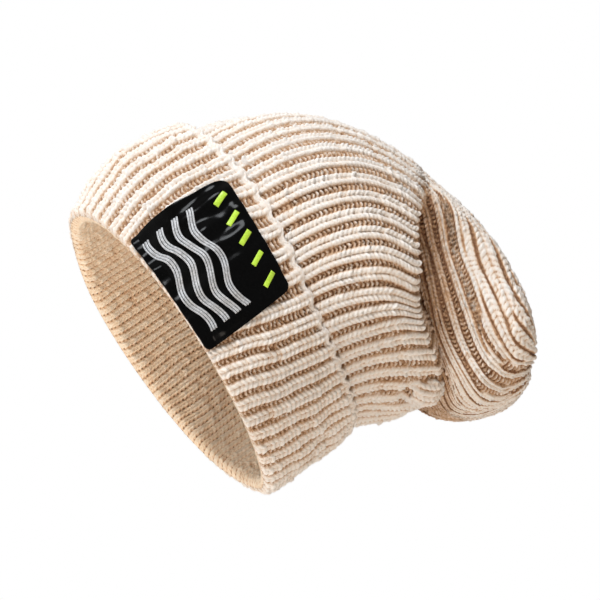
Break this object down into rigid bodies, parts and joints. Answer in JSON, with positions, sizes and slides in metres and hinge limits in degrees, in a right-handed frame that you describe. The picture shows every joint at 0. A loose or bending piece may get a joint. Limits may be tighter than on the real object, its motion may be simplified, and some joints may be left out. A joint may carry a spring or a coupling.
{
  "type": "knit beanie",
  "caption": "Slouchy chunky rib-knit beanie with a turned-up cuff, a crown that folds over at the back to a drawn gather, and a glossy film patch on the cuff.",
  "frame": {"origin": "centre of the head opening, level with the lower edge of the brim", "axes": "+Z from the opening up to the crown, +X to the back where the crown slouches, -Y to the side with the patch"},
  "size_m": [0.2476, 0.2105, 0.1925],
  "materials": {
    "knit": "chunky rib knit, soft matt yarn",
    "knit_inside": "closed rib knit, soft matt yarn",
    "yarn": "plied yarn",
    "felt": "thin black felt",
    "film": "glossy rippled film",
    "ink_grey": "raised satin ink",
    "ink_lime": "raised satin ink"
  },
  "bodies": {
    "hat": {"inner_band": "knit_inside", "body_knit": "knit"},
    "cuff": {"brim_fold": "knit", "cuff_knit": "knit", "cuff_edge": "knit", "patch_backing": "felt", "patch_face": "film", "patch_print": "ink_grey", "patch_accent": "ink_lime"},
    "crown": {"crown_knit": "knit", "crown_gather": "knit", "gather_yarn": "yarn"}
  },
  "joints": [
    {"name": "cuff_turn_down", "type": "slide", "parent": "hat", "child": "cuff", "axis": [0, 0, -1], "range_m": [0, 0.045]},
    {"name": "slouch_lift", "type": "hinge", "parent": "hat", "child": "crown", "pos_m": [-0.0098, 0, 0.1832], "axis": [0, -1, 0], "range_deg": [0, 60]}
  ]
}
